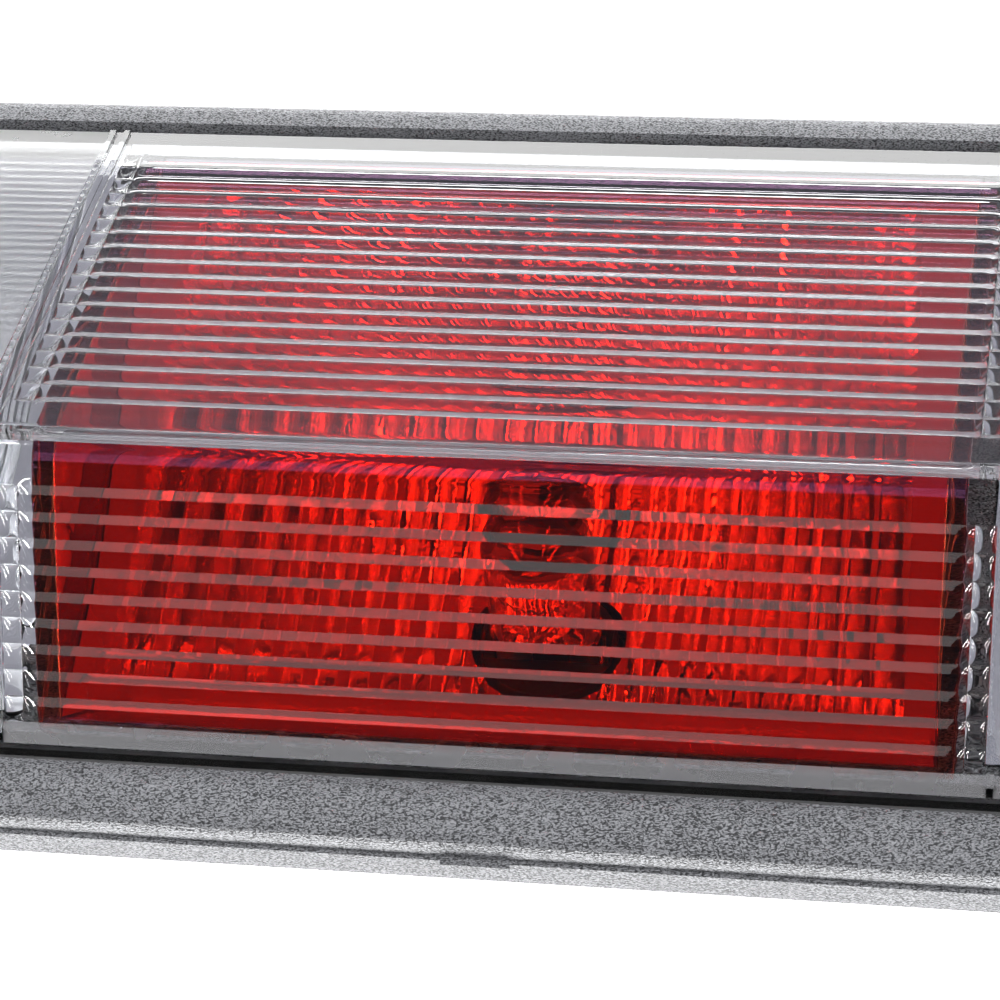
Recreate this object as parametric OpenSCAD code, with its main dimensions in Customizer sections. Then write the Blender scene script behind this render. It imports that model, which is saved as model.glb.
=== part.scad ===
// Third brake light with a cargo lamp on each side, for the back of a pickup cab.
// The clear wedge lens faces -Y, +Z is up as installed, and the lamp sits on the cab at y = 0.
// "Out" below means the distance in front of the mounting plane, towards -Y.
// Left is -X and right is +X, as seen by someone who stands behind the vehicle.

/* [Lens] */
// Length of the clear lens
lens_length = 388; // [340:1:430]
// Height of the clear lens between its top and bottom edges
lens_height = 98; // [84:1:112]
// How far the ridge stands out from the lens edges
ridge_out = 28; // [22:0.5:36]
// How far the ridge lies below the top edge
ridge_drop = 25.5; // [20:0.5:32]
// Radius on the ridge
ridge_radius = 2.6; // [1.5:0.1:4]
// Thickness of the clear lens
lens_wall = 2.5; // [2:0.1:3]
// Depth of the straight rim that goes down into the housing
lens_rim = 3; // [2.5:0.5:6]
// How far each end of the lens leans in by the height of the ridge
end_lean = 14; // [6:1:24]

/* [Lens ribs] */
// Spacing of the ribs inside the sloping face
slope_pitch = 3.8; // [3:0.1:5]
// Height of the ribs inside the sloping face
slope_rib = 0.4; // [0.2:0.05:0.6]
// Spacing of the ribs on the upper face
upper_pitch = 3.2; // [2.6:0.1:4]
// Height of the ribs on the upper face
upper_rib = 0.45; // [0.2:0.05:0.6]
// Spacing of the fine ribs over the cargo lamps
cargo_pitch = 1.9; // [1.5:0.1:2.5]
// Smooth band between the ridge and the nearest rib on either face
smooth_band = 6.4; // [5:0.1:9]
// Width of each of the two bars between the stop and cargo areas
bar_width = 0.8; // [0.6:0.1:1.2]
// Gap between those two bars
bar_gap = 1.2; // [0.8:0.1:2]

/* [Stop section] */
// Width of the red inner lens at the ridge
red_width = 108; // [90:1:130]
// How much wider the stop section is on each side at the bottom edge
red_flare = 4.2; // [0:0.1:8]
// Thickness of the red inner lens
red_wall = 2.2; // [1.8:0.1:2.8]
// Air gap between the red lens and the clear lens
red_gap = 0.8; // [0.5:0.1:2]

/* [Housing] */
// Width of the grained flange above the lens
flange_top = 7.5; // [6:0.5:14]
// Width of the grained flange below the lens
flange_bottom = 5.5; // [5:0.5:14]
// Width of the flange at each end
flange_end = 18; // [15:0.5:24]
// Corner radius of the flange
flange_corner = 14; // [6:1:18]
// How much the flange surface is crowned
flange_crown = 0.8; // [0.3:0.1:1.2]
// Width of the dark groove round the lens
groove_width = 2; // [1.5:0.1:3]
// Thickness of the housing walls
housing_wall = 2.5; // [2:0.1:3]
// How much the tub walls lean in at the back
tub_lean = 6; // [3:0.5:8]

/* [Seals] */
// Compressed thickness of the foam gasket
gasket_thickness = 3; // [2:0.5:6]
// Width of the foam gasket
gasket_width = 6; // [4:0.5:7]
// Thickness of the sealant under the lens rim
sealant_thickness = 1; // [0.5:0.1:2.5]

/* [Mounting] */
// Radius of the four mounting screw holes
screw_hole_r = 2.75; // [2.25:0.05:3.5]
// Height between the upper and lower mounting holes
screw_spacing_z = 64; // [50:1:72]
// Radius of the bosses round the mounting holes
screw_boss_r = 6; // [5:0.5:7]

/* [Reflectors] */
// Depth of the reflector bowls
bowl_depth = 36.5; // [32:0.5:42]
// Thickness of the reflectors
reflector_wall = 1.8; // [1.5:0.1:2.2]
// Width of one reflector flute
flute_pitch = 3.6; // [2.5:0.1:6]
// Height of the reflector flutes
flute_height = 0.6; // [0.3:0.1:1]

/* [Bulb sockets] */
// Radius of the socket barrel
barrel_r = 10.9; // [10:0.1:11.5]
// Radial clearance of the barrel in its hole
barrel_fit = 0.1; // [0.03:0.01:0.1]
// Angle that a socket turns to come free
unlock_angle = 45; // [35:1:50]
// Radius of the wedge bulb
bulb_r = 7.5; // [6.5:0.1:8]
// Length of the bulb above its wedge base
bulb_length = 27; // [22:1:30]

/* [Hidden] */
$fn = 64;

// A little extra length on every cut, and the general clearance between loose neighbours
over = 1;
clearance = 0.3;

// Levels in front of the mounting plane
channel_out = gasket_thickness + housing_wall;
foot_out = channel_out + sealant_thickness;
edge_out = foot_out + lens_rim;

// Half sizes of the lens, the tub under it and the flange round it
lens_x = lens_length / 2;
lens_z = lens_height / 2;
tub_gap = 0.5;
tub_x = lens_x - lens_wall - tub_gap;
tub_z = lens_z - lens_wall - tub_gap;
flange_x = lens_x + groove_width + flange_end;
flange_z_high = lens_z + groove_width + flange_top;
flange_z_low = -lens_z - groove_width - flange_bottom;
skirt_out = 1;

// The wedge: a long lower slope and a short upper face that meet at the ridge
slope_rise = lens_height - ridge_drop;
slope_length = norm([ridge_out, slope_rise]);
upper_length = norm([ridge_out, ridge_drop]);
slope_angle = atan2(ridge_out, slope_rise);
upper_angle = atan2(ridge_out, ridge_drop);
ridge_z = lens_z - ridge_drop;

function slope_at(z, inset) = edge_out + (ridge_out * (z + lens_z) - inset * slope_length) / slope_rise;
function upper_at(z, inset) = edge_out + (ridge_out * (lens_z - z) - inset * upper_length) / ridge_drop;
function slope_z_at(out, inset) =
    ((out - edge_out) * slope_rise + inset * slope_length) / ridge_out - lens_z;
function ridge_z_at(inset) =
    (ridge_out * lens_z * (1 / ridge_drop - 1 / slope_rise)
        + inset * (slope_length / slope_rise - upper_length / ridge_drop))
    / (ridge_out * (1 / ridge_drop + 1 / slope_rise));
function ridge_at(inset) = [slope_at(ridge_z_at(inset), inset), ridge_z_at(inset)];

// Side view of the wedge, moved in by inset and cut off at base, as [out, up] points
function wedge(inset, base, z_low, z_high) = [
    [base, z_low], [slope_at(z_low, inset), z_low], ridge_at(inset),
    [upper_at(z_high, inset), z_high], [base, z_high]];

// The red lens seats just under the clear lens; the back wall leaves room for the sockets' lugs
seat_out = slope_at(-tub_z, lens_wall) - clearance;
bowl_out = seat_out - bowl_depth;
bowl_back = 1.4 * reflector_wall;
bowl_over = 5;
lug_height = 2;
lug_gap = 0.2;
floor_out = bowl_out - bowl_back - clearance - lug_height - lug_gap;
back_out = floor_out - housing_wall;

// Half width of the stop section, whose sides flare towards the bottom edge
ledge_width = 1.9;
baffle_gap = 0.6;
bar_offset = 0.4;
bar_height = 0.6;
red_x = red_width / 2;
ledge_x = red_x - ledge_width;
baffle_in_x = red_x + baffle_gap;
baffle_out_x = baffle_in_x + housing_wall;
bar_x = baffle_out_x + bar_offset;
reflector_x = ledge_x - clearance;
function stop_outline(x) = [
    [-x - red_flare, -lens_z - over], [x + red_flare, -lens_z - over], [x, ridge_z],
    [x, lens_z + over], [-x, lens_z + over], [-x, ridge_z]];

// Cargo lamp centre, and half the width that its bowl can take
cargo_low_x = baffle_out_x + red_flare + clearance;
cargo_high_x = tub_x - housing_wall - clearance;
cargo_x = (cargo_low_x + cargo_high_x) / 2;
bowl_side = 2;
bowl_rim = 3;
stop_bowl_x = reflector_x - bowl_side - reflector_wall;
cargo_bowl_x = (cargo_high_x - cargo_low_x) / 2 - bowl_side - reflector_wall;
reflector_z = tub_z - housing_wall - clearance;
bowl_z = reflector_z - bowl_side - reflector_wall - bowl_rim;
bowl_lean = 8;
bowl_back_facets = 24;
flute_facets = 4;
reflector_boss_x = 30;
reflector_boss_r = 4;
reflector_screw_r = 1.3;
reflector_screw_length = 8;
bulb_hole_gap = 0.6;

// Sockets, measured out from the back wall
hole_r = barrel_r + barrel_fit;
lug_reach = 2.5;
notch_r = hole_r + lug_reach;
lug_r = notch_r - clearance;
notch_width = 7;
lug_width = notch_width - 2 * clearance;
collar_height = 1.5;
collar_land = 3;
collar_r = notch_r + collar_land;
collar_out = back_out - collar_height;
seal_thickness = 2;
seal_land = 1.5;
seal_r = notch_r + seal_land;
seal_in_r = barrel_r + clearance;
flange_out = collar_out - barrel_fit - seal_thickness;
socket_flange = 3;
socket_flange_lip = 0.8;
socket_flange_r = seal_r + socket_flange_lip;
lug_out = floor_out + lug_gap;
nose_step = 1.4;
nose_proud = 1.5;
nose_r = barrel_r - nose_step;
nose_out = bowl_out + nose_proud;
port_x = 17;
port_z = 9;
port_wall = 2;
port_depth = 12;
port_corner = 2.5;
port_length = 17;
port_out = flange_out - socket_flange - port_length;
wedge_x = 15;
wedge_z = 4.4;
wedge_depth = 9;
blade = [4.8, 0.8];
blade_x = 5;
blade_gap = 0.1;
blade_recess = 3;
clip_bridge = 0.6;
clip_lead = 2;
grip = [2 * socket_flange_r - 2, 3];
grip_setback = 7;
latch = [6, 2.2, 5];
latch_setback = 2;

SIDES = [-1, 1];

// Carries an [out, up] outline from x0 to x1
module side_run(x0, x1, outline)
    translate([x0, 0, 0]) rotate([90, 0, 90]) linear_extrude(x1 - x0)
        polygon([for (p = outline) [-p[0], p[1]]]);

// Carries an [x, up] shape from one level out to another
module front_run(out0, out1)
    translate([0, -out0, 0]) rotate([90, 0, 0]) linear_extrude(out1 - out0) children();

// Carries an [x, out] outline from z0 to z1
module plan_run(z0, z1, outline)
    translate([0, 0, z0]) linear_extrude(z1 - z0)
        polygon([for (p = outline) [p[0], -p[1]]]);

// Stands something on a lamp axis, with its own +Z pointing out
module on_axis(x) translate([x, 0, 0]) rotate([90, 0, 0]) children();

module round_box(x0, x1, z0, z1, r) {
    translate([x0 + r, z0]) square([x1 - x0 - 2 * r, z1 - z0]);
    translate([x0, z0 + r]) square([x1 - x0, z1 - z0 - 2 * r]);
    for (x = [x0 + r, x1 - r], z = [z0 + r, z1 - r]) translate([x, z]) circle(r);
}

module box_outline(x, z) translate([-x, -z]) square([2 * x, 2 * z]);

// ---- Clear outer lens ----

// Points along one face, bulged into pillows; start is the distance to the first rib
function pillows(from, along, normal, start, pitch, count, height, steps) = [
    for (k = [0:count - 1], i = [0:steps - 1])
        let (t = i / steps)
        from + along * (start + pitch * (k + t)) + normal * (height * 4 * t * (1 - t)),
    from + along * (start + pitch * count)];

// Points along one face, cut into stepped ribs whose crest is a third of the way across
function steps_out(from, along, normal, start, pitch, count, height) = [
    for (k = [0:count - 1], t = [0, 1 / 3])
        from + along * (start + pitch * (k + t)) + normal * (t > 0 ? height : 0),
    from + along * (start + pitch * count)];

slope_along = [sin(slope_angle), cos(slope_angle)];
slope_normal = [cos(slope_angle), -sin(slope_angle)];
upper_along = [-sin(upper_angle), cos(upper_angle)];
upper_normal = [cos(upper_angle), sin(upper_angle)];
ridge_tangent = ridge_radius * tan((slope_angle + upper_angle) / 2);
upper_margin = 2.5;
inner_margin = 2;
ridge_steps = 6;

function rib_count(length, margin, pitch) = floor((length - margin - smooth_band) / pitch);
function ridge_arc(r) = [for (i = [0:ridge_steps])
    let (a = -slope_angle + (slope_angle + upper_angle) * i / ridge_steps)
    ridge_at(r) + r * [cos(a), sin(a)]];

// Side view of the lens, with stepped ribs on the outside of its upper face
function lens_side() =
    let (n = rib_count(upper_length, upper_margin, upper_pitch))
    concat(
        [[foot_out, -lens_z], [edge_out, -lens_z]],
        ridge_arc(ridge_radius),
        steps_out(ridge_at(0), upper_along, upper_normal, smooth_band, upper_pitch, n, upper_rib),
        [[edge_out, lens_z], [foot_out, lens_z]]);

// Side view of the space inside the lens, with pillow ribs standing in from the sloping face
inner_z = lens_z - lens_wall;
function lens_space(pitch, height, steps) =
    let (start = [slope_at(-inner_z, lens_wall), -inner_z],
        length = norm(ridge_at(lens_wall) - start),
        n = rib_count(length, inner_margin, pitch))
    concat(
        [[foot_out - over, -inner_z], start],
        pillows(start, slope_along, -slope_normal,
            length - smooth_band - n * pitch, pitch, n, height, steps),
        [ridge_at(lens_wall), [upper_at(inner_z, lens_wall), inner_z], [foot_out - over, inner_z]]);

// Plan view of the lens with its leaning ends, moved in by inset
function lens_plan(inset, base) =
    let (top = edge_out + ridge_out + over,
        lean = end_lean * (ridge_out + over) / ridge_out,
        x = lens_x - inset)
    [[-x, base], [-x, edge_out - inset], [lean - x, top], [x - lean, top], [x, edge_out - inset], [x, base]];

module outer_lens() color([0.9, 0.92, 0.94, 0.35]) difference() {
    union() {
        intersection() {
            side_run(-lens_x, lens_x, lens_side());
            plan_run(-lens_z, lens_z, lens_plan(0, foot_out));
        }
        for (x = [bar_x, bar_x + bar_width + bar_gap]) divider_bar(x);
    }
    intersection() {
        side_run(-lens_x, lens_x, lens_space(slope_pitch, slope_rib, 4));
        front_run(foot_out - over, edge_out + ridge_out) polygon(stop_outline(bar_x));
    }
    difference() {
        intersection() {
            side_run(-lens_x, lens_x, lens_space(cargo_pitch, slope_rib / 2, 2));
            plan_run(-lens_z, lens_z, lens_plan(lens_wall, foot_out - over));
        }
        front_run(foot_out - 2 * over, edge_out + ridge_out) polygon(stop_outline(bar_x));
    }
}

// One bar on each side that divides the stop area from the cargo area
module divider_bar(x) intersection() {
    side_run(-lens_x, lens_x, wedge(-bar_height, foot_out, -lens_z, lens_z));
    front_run(foot_out, edge_out + ridge_out + over + bar_height) difference() {
        polygon(stop_outline(x + bar_width));
        polygon(stop_outline(x));
    }
    front_run(foot_out, edge_out + ridge_out + over + bar_height) box_outline(lens_x, lens_z);
}

// ---- Red inner lens ----

red_inset = lens_wall + red_gap;
red_edge_gap = 1;
red_foot_height = 0.5;
red_z_high = lens_z - lens_wall - red_edge_gap;
red_z_low = max(-tub_z + housing_wall + red_edge_gap, slope_z_at(seat_out + red_foot_height, red_inset));

module red_inner_lens() color([0.8, 0.05, 0.08, 0.6]) difference() {
    intersection() {
        side_run(-lens_x, lens_x, wedge(red_inset, seat_out, red_z_low, red_z_high));
        front_run(seat_out, edge_out + ridge_out) polygon(stop_outline(red_x));
    }
    intersection() {
        side_run(-lens_x, lens_x,
            wedge(red_inset + red_wall, floor_out, red_z_low + red_wall, red_z_high - red_wall));
        front_run(floor_out, edge_out + ridge_out) polygon(stop_outline(red_x - red_wall));
    }
}

// ---- Housing ----

// Side view of the flange: crowned strips with rounded outer edges, the lower one rounded down to the lip
lip_out = gasket_thickness + housing_wall;
lip_size = 0.5;
edge_round = 2.2;
low_round = min(edge_out - lip_out, flange_bottom - over);
arc_steps = 6;
crown_steps = 6;
function crown(z, z0, z1) = flange_crown * (1 - pow((2 * z - z0 - z1) / (z1 - z0), 2));
function flange_side() = concat(
    [[gasket_thickness, flange_z_low]],
    [for (i = [0:arc_steps]) let (a = 90 * i / arc_steps)
        [edge_out - low_round + low_round * sin(a), flange_z_low + low_round * (1 - cos(a))]],
    [[edge_out, -lens_z - groove_width]],
    [for (i = [0:crown_steps - 1]) let (z = lens_z + groove_width + (flange_top - edge_round) * i / crown_steps)
        [edge_out + crown(z, lens_z + groove_width, flange_z_high - edge_round), z]],
    [for (i = [0:arc_steps]) let (a = 90 * i / arc_steps)
        [edge_out - edge_round + edge_round * cos(a), flange_z_high - edge_round * (1 - sin(a))]],
    [[gasket_thickness, flange_z_high]]);
function flange_plan() = concat(
    [for (i = [0:arc_steps]) let (a = 90 * i / arc_steps)
        [-flange_x + edge_round * (1 - cos(a)), edge_out + flange_crown - edge_round + edge_round * sin(a)]],
    [for (i = [0:arc_steps]) let (a = 90 * i / arc_steps)
        [flange_x - edge_round * (1 - sin(a)), edge_out + flange_crown - edge_round + edge_round * cos(a)]],
    [[flange_x, gasket_thickness], [-flange_x, gasket_thickness]]);

module flange_outline(inset)
    round_box(-flange_x + inset, flange_x - inset, flange_z_low + inset, flange_z_high - inset,
        flange_corner - inset);

// The tub or, with an inset, the space inside it
module tub_block(inset, top) intersection() {
    side_run(-lens_x, lens_x, [
        [back_out + inset, -tub_z + tub_lean + inset], [0, -tub_z + inset], [top, -tub_z + inset],
        [top, tub_z - inset], [0, tub_z - inset], [back_out + inset, tub_z - tub_lean - inset]]);
    plan_run(-lens_z, lens_z, [
        [-tub_x + tub_lean + inset, back_out + inset], [-tub_x + inset, 0], [-tub_x + inset, top],
        [tub_x - inset, top], [tub_x - inset, 0], [tub_x - tub_lean - inset, back_out + inset]]);
}

// Wall on each side of the stop lamp, with a ledge for the red lens and a baffle up to the clear lens
module partitions() {
    intersection() {
        tub_block(0, seat_out);
        front_run(back_out, seat_out) difference() {
            polygon(stop_outline(baffle_out_x));
            polygon(stop_outline(ledge_x));
        }
    }
    intersection() {
        side_run(-lens_x, lens_x,
            wedge(red_inset, seat_out - over, max(-tub_z, slope_z_at(seat_out, red_inset)), red_z_high));
        front_run(seat_out - over, edge_out + ridge_out) difference() {
            polygon(stop_outline(baffle_out_x));
            polygon(stop_outline(baffle_in_x));
        }
    }
}

// The moulding gate mark on the lip that runs round the flange
gate_width = 8;

screw_x = lens_x + groove_width + flange_end / 2;
spotface_depth = 2.2;
spotface_inset = 0.6;
vent_from_end = 16;
vent_x = tub_x - tub_lean - vent_from_end;
vent_r = 4;
vent_bore_r = 1.5;
vent_length = 6;
rib_height = 3;
rib_width = 2;
rib_end_gap = 2;
rib_from_boss = 12;
rib_from_vent = 4;

module at_mounting_holes() for (x = SIDES, z = SIDES)
    translate([x * screw_x, 0, z * screw_spacing_z / 2]) rotate([90, 0, 0]) children();

module at_reflector_screws() for (centre = [-cargo_x, 0, cargo_x], side = SIDES)
    translate([centre + side * reflector_boss_x, 0, 0]) rotate([90, 0, 0]) children();

module housing() color([0.45, 0.46, 0.48]) difference() {
    union() {
        difference() {
            union() {
                intersection() {
                    side_run(-flange_x, flange_x, flange_side());
                    plan_run(flange_z_low, flange_z_high, flange_plan());
                    front_run(0, edge_out + 2 * flange_crown) flange_outline(0);
                }
                front_run(skirt_out, gasket_thickness + over) difference() {
                    flange_outline(0);
                    flange_outline(housing_wall);
                }
                front_run(lip_out - lip_size, lip_out) flange_outline(-lip_size);
                translate([-gate_width / 2, -lip_out, flange_z_high - over])
                    cube([gate_width, 2 * lip_size, over + 2 * lip_size]);
            }
            front_run(channel_out, edge_out + flange_crown + over)
                box_outline(lens_x + groove_width, lens_z + groove_width);
        }
        tub_block(0, seat_out);
        at_mounting_holes() cylinder(r = screw_boss_r, h = channel_out);
        for (x = [-cargo_x, 0, cargo_x]) socket_collar(x);
        for (x = SIDES) translate([x * vent_x, 0, 0]) rotate([90, 0, 0])
            translate([0, 0, back_out - vent_length]) cylinder(r = vent_r, h = vent_length + over);
        back_ribs();
    }
    difference() {
        tub_block(housing_wall, seat_out + over);
        partitions();
    }
    for (x = [-cargo_x, 0, cargo_x]) socket_hole(x);
    at_reflector_screws() translate([0, 0, back_out - over])
        cylinder(r = reflector_screw_r + clearance, h = housing_wall + 2 * over);
    at_mounting_holes() {
        translate([0, 0, -over]) cylinder(r = screw_hole_r, h = edge_out + 3 * over);
        translate([0, 0, edge_out - spotface_depth]) cylinder(r = screw_boss_r - spotface_inset, h = spotface_depth + flange_crown + over);
    }
    for (x = SIDES) translate([x * vent_x, 0, 0]) rotate([90, 0, 0])
        translate([0, 0, back_out - vent_length - over])
            cylinder(r = vent_bore_r, h = vent_length + housing_wall + 2 * over);
}

// Stiffening ribs across the back wall
module back_ribs()
    for (x = [reflector_boss_x + rib_from_boss, cargo_x - reflector_boss_x - rib_from_boss,
            vent_x + vent_cap_r + rib_from_vent], side = SIDES)
        translate([side * x - rib_width / 2, -back_out - over, -tub_z + tub_lean + rib_end_gap])
            cube([rib_width, rib_height + over, 2 * (tub_z - tub_lean - rib_end_gap)]);

module socket_collar(x) on_axis(x) translate([0, 0, collar_out])
    cylinder(r = collar_r, h = collar_height + over);

// Round hole with three notches that the socket's lugs pass through
module socket_hole(x) on_axis(x) translate([0, 0, collar_out - over])
    linear_extrude(collar_height + housing_wall + 2 * over) {
        circle(hole_r);
        for (a = [0, 120, 240]) rotate(a) intersection() {
            translate([0, -notch_width / 2]) square([notch_r + over, notch_width]);
            circle(notch_r);
        }
    }

// ---- Reflectors ----

// Parabola across the bowl, as the distance out at x from the lamp axis
function bowl(x, half) = seat_out - bowl_depth * (1 - pow(x / half, 2));
function bowl_points(half, count, height) = [for (i = [-count:count])
    let (x = half * i / count)
    [x, bowl(x, half) + height * abs(sin(180 * x / flute_pitch))]];

// The hollow of a bowl, or its outside when grown by the wall
module bowl_block(half, grow, count, height) intersection() {
    plan_run(-lens_z, lens_z, concat(
        [[-half - grow, seat_out + (grow > 0 ? 0 : over)]],
        [for (p = bowl_points(half, count, height)) p - [0, grow > 0 ? bowl_back : 0]],
        [[half + grow, seat_out + (grow > 0 ? 0 : over)]]));
    side_run(-half - grow, half + grow, [
        [bowl_out - bowl_over, -bowl_z + bowl_lean - grow], [seat_out + over, -bowl_z - grow],
        [seat_out + over, bowl_z + grow], [bowl_out - bowl_over, bowl_z - bowl_lean + grow]]);
}

// A bowl with its rim plate, bulb hole and two screw bosses; the rim's outline is the child
module reflector(x, half) translate([x, 0, 0]) difference() {
    union() {
        intersection() {
            bowl_block(half, reflector_wall, bowl_back_facets, 0);
            front_run(floor_out, seat_out) box_outline(half + reflector_wall, reflector_z);
        }
        front_run(seat_out - reflector_wall, seat_out) translate([-x, 0]) children();
        for (side = SIDES) translate([side * reflector_boss_x, 0, 0]) rotate([90, 0, 0])
            translate([0, 0, floor_out]) cylinder(r = reflector_boss_r, h = bowl(reflector_boss_x, half) - floor_out);
    }
    bowl_block(half, 0, flute_facets * round(half / flute_pitch), flute_height);
    rotate([90, 0, 0]) translate([0, 0, floor_out]) cylinder(r = nose_r + bulb_hole_gap, h = bowl_depth);
    for (side = SIDES) translate([side * reflector_boss_x, 0, 0]) rotate([90, 0, 0])
        translate([0, 0, floor_out - over])
            cylinder(r = reflector_screw_r, h = reflector_screw_length + 2 * over);
}

module stop_reflector() color([0.82, 0.83, 0.85]) reflector(0, stop_bowl_x)
    intersection() {
        polygon(stop_outline(reflector_x));
        box_outline(lens_x, reflector_z);
    }

module cargo_reflector(side) color([0.82, 0.83, 0.85]) reflector(side * cargo_x, cargo_bowl_x)
    difference() {
        translate([side > 0 ? 0 : -cargo_high_x, -reflector_z]) square([cargo_high_x, 2 * reflector_z]);
        polygon(stop_outline(baffle_out_x + clearance));
    }
module cargo_reflector_left() cargo_reflector(-1);
module cargo_reflector_right() cargo_reflector(1);

// Pan-head screws that hold the reflectors from behind
screw_head_r = 2.9;
screw_head_height = 2;
screw_slot = [3.4, 0.7];
module reflector_screws() color([0.75, 0.75, 0.72]) at_reflector_screws() difference() {
    union() {
        translate([0, 0, back_out - screw_head_height]) cylinder(r = screw_head_r, h = screw_head_height);
        translate([0, 0, back_out - over]) cylinder(r = reflector_screw_r, h = housing_wall + reflector_screw_length);
    }
    for (a = [0, 90]) rotate(a)
        translate([-screw_slot[0] / 2, -screw_slot[1] / 2, back_out - screw_head_height - over])
            cube([screw_slot[0], screw_slot[1], screw_head_height / 2 + over]);
}

// ---- Seals and vents ----

module lens_sealant() color([0.1, 0.1, 0.11]) front_run(channel_out, foot_out) difference() {
    box_outline(lens_x + groove_width, lens_z + groove_width);
    box_outline(tub_x, tub_z);
}

gasket_gap = 1;
gasket_corner = 3;
module gasket_outline(grow)
    round_box(-tub_x - grow, tub_x + grow, -tub_z - grow, tub_z + grow, gasket_corner + grow - gasket_gap);
module mounting_gasket() color([0.15, 0.15, 0.16]) front_run(0, gasket_thickness) difference() {
    gasket_outline(gasket_gap + gasket_width);
    gasket_outline(gasket_gap);
    at_gasket_reliefs();
}

// Clears the mounting bosses where the gasket would reach them
module at_gasket_reliefs() for (x = SIDES, z = SIDES)
    translate([x * screw_x, z * screw_spacing_z / 2]) circle(screw_boss_r + clearance);

vent_cap_r = 6;
vent_cap_length = 7.5;
vent_cap_plate = 2.5;
vent_cap_wall = 1;
vent_groove = [1.2, 0.5];
module vent_caps() color([0.08, 0.08, 0.08]) for (x = SIDES) on_axis(x * vent_x) difference() {
    translate([0, 0, back_out - vent_cap_length]) {
        cylinder(r = vent_cap_r, h = vent_cap_plate);
        cylinder(r = vent_r + vent_cap_wall, h = vent_cap_length - rib_width);
    }
    translate([0, 0, back_out - vent_length]) cylinder(r = vent_r, h = vent_length + over);
    for (a = [0, 90]) rotate(a)
        translate([-vent_cap_r - over, -vent_groove[0] / 2, back_out - vent_length - vent_groove[1]])
            cube([2 * vent_cap_r + 2 * over, vent_groove[0], vent_groove[1]]);
}

// ---- Bulb sockets ----

module wedge_slot(grow) translate([-wedge_x / 2 - grow, -wedge_z / 2 - grow, nose_out - wedge_depth])
    cube([wedge_x + 2 * grow, wedge_z + 2 * grow, wedge_depth + over]);

module socket(x) color([0.07, 0.07, 0.08]) on_axis(x) difference() {
    union() {
        translate([0, 0, flange_out]) cylinder(r = barrel_r, h = lug_out - flange_out);
        translate([0, 0, lug_out - over]) cylinder(r = nose_r, h = nose_out - lug_out + over);
        translate([0, 0, lug_out]) linear_extrude(lug_height) {
            for (a = [0, 120, 240]) rotate(a + unlock_angle) intersection() {
                translate([0, -lug_width / 2]) square([lug_r + over, lug_width]);
                circle(lug_r);
            }
            circle(nose_r);
        }
        translate([0, 0, flange_out - socket_flange]) cylinder(r = socket_flange_r, h = socket_flange);
        translate([0, 0, port_out]) linear_extrude(flange_out - socket_flange - port_out + over)
            round_box(-port_x / 2 - port_wall, port_x / 2 + port_wall,
                -port_z / 2 - port_wall, port_z / 2 + port_wall, port_corner);
        translate([-grip[0] / 2, -grip[1] / 2, port_out + grip_setback])
            cube([grip[0], grip[1], flange_out - port_out - grip_setback - over]);
        translate([-latch[0] / 2, port_z / 2 + port_wall - over, port_out + latch_setback])
            cube([latch[0], latch[1] + over, latch[2]]);
    }
    translate([-port_x / 2, -port_z / 2, port_out - over]) cube([port_x, port_z, port_depth + over]);
    wedge_slot(clearance + blade[1]);
    contact_blades();
}

// Two spring clips beside the wedge base, each with a blade in the connector port
module contact_blades() for (side = SIDES) {
    translate([side * blade_x - blade[0] / 2, -blade[1] / 2, port_out + blade_recess])
        cube([blade[0], blade[1], nose_out - wedge_depth - port_out - blade_recess + clip_bridge]);
    for (face = SIDES)
        translate([side * blade_x - blade[0] / 2,
            face * (wedge_z / 2 + blade[1] / 2 + blade_gap) - blade[1] / 2, nose_out - wedge_depth])
            cube([blade[0], blade[1], wedge_depth - clip_lead]);
    translate([side * blade_x - blade[0] / 2, -wedge_z / 2 - blade[1] - blade_gap, nose_out - wedge_depth])
        cube([blade[0], wedge_z + 2 * (blade[1] + blade_gap), clip_bridge]);
}
module contacts(x) color([0.78, 0.62, 0.3]) on_axis(x) contact_blades();

module socket_seal(x) color([0.12, 0.12, 0.12]) on_axis(x) translate([0, 0, flange_out]) difference() {
    cylinder(r = seal_r, h = seal_thickness);
    translate([0, 0, -over]) cylinder(r = seal_in_r, h = seal_thickness + 2 * over);
}

// ---- Wedge bulbs ----

glass_wall = 0.8;
neck_gap = 0.2;
base_side_gap = 0.2;
base_out = nose_out - wedge_depth + clip_bridge;
neck_out = nose_out + neck_gap;
module bulb_form(shrink) {
    rotate_extrude() intersection() {
        translate([0, neck_out + shrink]) square([bulb_r - shrink, bulb_length + bulb_r]);
        union() {
            translate([0, neck_out + shrink]) square([bulb_r - shrink, bulb_length - bulb_r - shrink]);
            translate([0, neck_out + bulb_length - bulb_r]) circle(bulb_r - shrink);
        }
    }
}
module bulb_glass(x) color([0.92, 0.94, 0.95, 0.3]) on_axis(x) difference() {
    union() {
        bulb_form(0);
        translate([-wedge_x / 2 + base_side_gap, -wedge_z / 2, base_out])
            cube([wedge_x - 2 * base_side_gap, wedge_z, neck_out - base_out + glass_wall / 2]);
    }
    bulb_form(glass_wall);
}

// Two support wires with the coil between them
wire_r = 0.35;
wire_x = 2.8;
wire_length = 12;
coil_r = 0.55;
coil_out = neck_out + glass_wall + wire_length;
module bulb_filament(x) color([0.5, 0.5, 0.52]) on_axis(x) {
    for (side = SIDES) translate([side * wire_x, 0, neck_out + glass_wall])
        cylinder(r = wire_r, h = coil_out - neck_out - glass_wall);
    translate([-wire_x - wire_r, 0, coil_out]) rotate([0, 90, 0])
        cylinder(r = coil_r, h = 2 * (wire_x + wire_r));
}

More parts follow.
